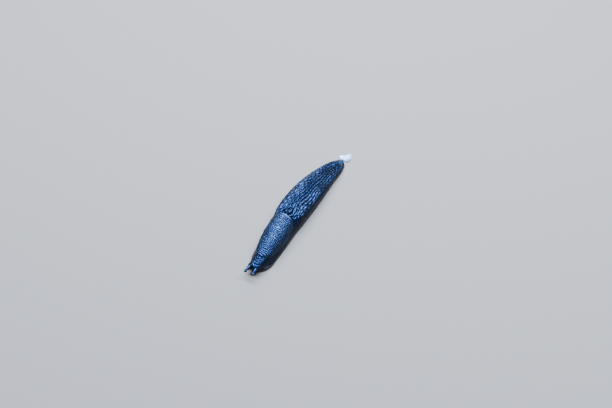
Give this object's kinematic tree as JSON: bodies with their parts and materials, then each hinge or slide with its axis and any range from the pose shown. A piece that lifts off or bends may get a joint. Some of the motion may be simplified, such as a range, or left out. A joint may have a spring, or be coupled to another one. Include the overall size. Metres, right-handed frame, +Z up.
{
  "type": "slug",
  "caption": "Large black slug crawling on its flat sole, with mantle shield, rows of long grains on its back, feelers stretched out and pale slime at the tail.",
  "frame": {"origin": "on the sole, under the middle of the body", "axes": "+Z up from the floor, -Y towards the head, so +X is the animal's left"},
  "size_m": [0.0202, 0.1127, 0.0149],
  "materials": {
    "back_skin": "wet blue-black skin",
    "mantle_skin": "wet blue-black skin, finely grained",
    "foot_skin": "wet brown-black fringe",
    "feeler_skin": "wet, smooth, slightly translucent",
    "eye_bulb": "wet and glossy",
    "slime": "clear to milky slime, wet"
  },
  "bodies": {
    "root": {"head": "back_skin", "mantle": "mantle_skin", "torso_front": "back_skin", "torso_middle": "back_skin", "torso_rear": "back_skin", "tail": "back_skin", "foot_front": "foot_skin", "foot_middle": "foot_skin", "foot_rear": "foot_skin", "upper_tentacle_left": "feeler_skin", "upper_tentacle_right": "feeler_skin", "lower_tentacle_left": "feeler_skin", "lower_tentacle_right": "feeler_skin", "eye_left": "eye_bulb", "eye_right": "eye_bulb", "tail_slime_plug": "slime"}
  },
  "joints": []
}
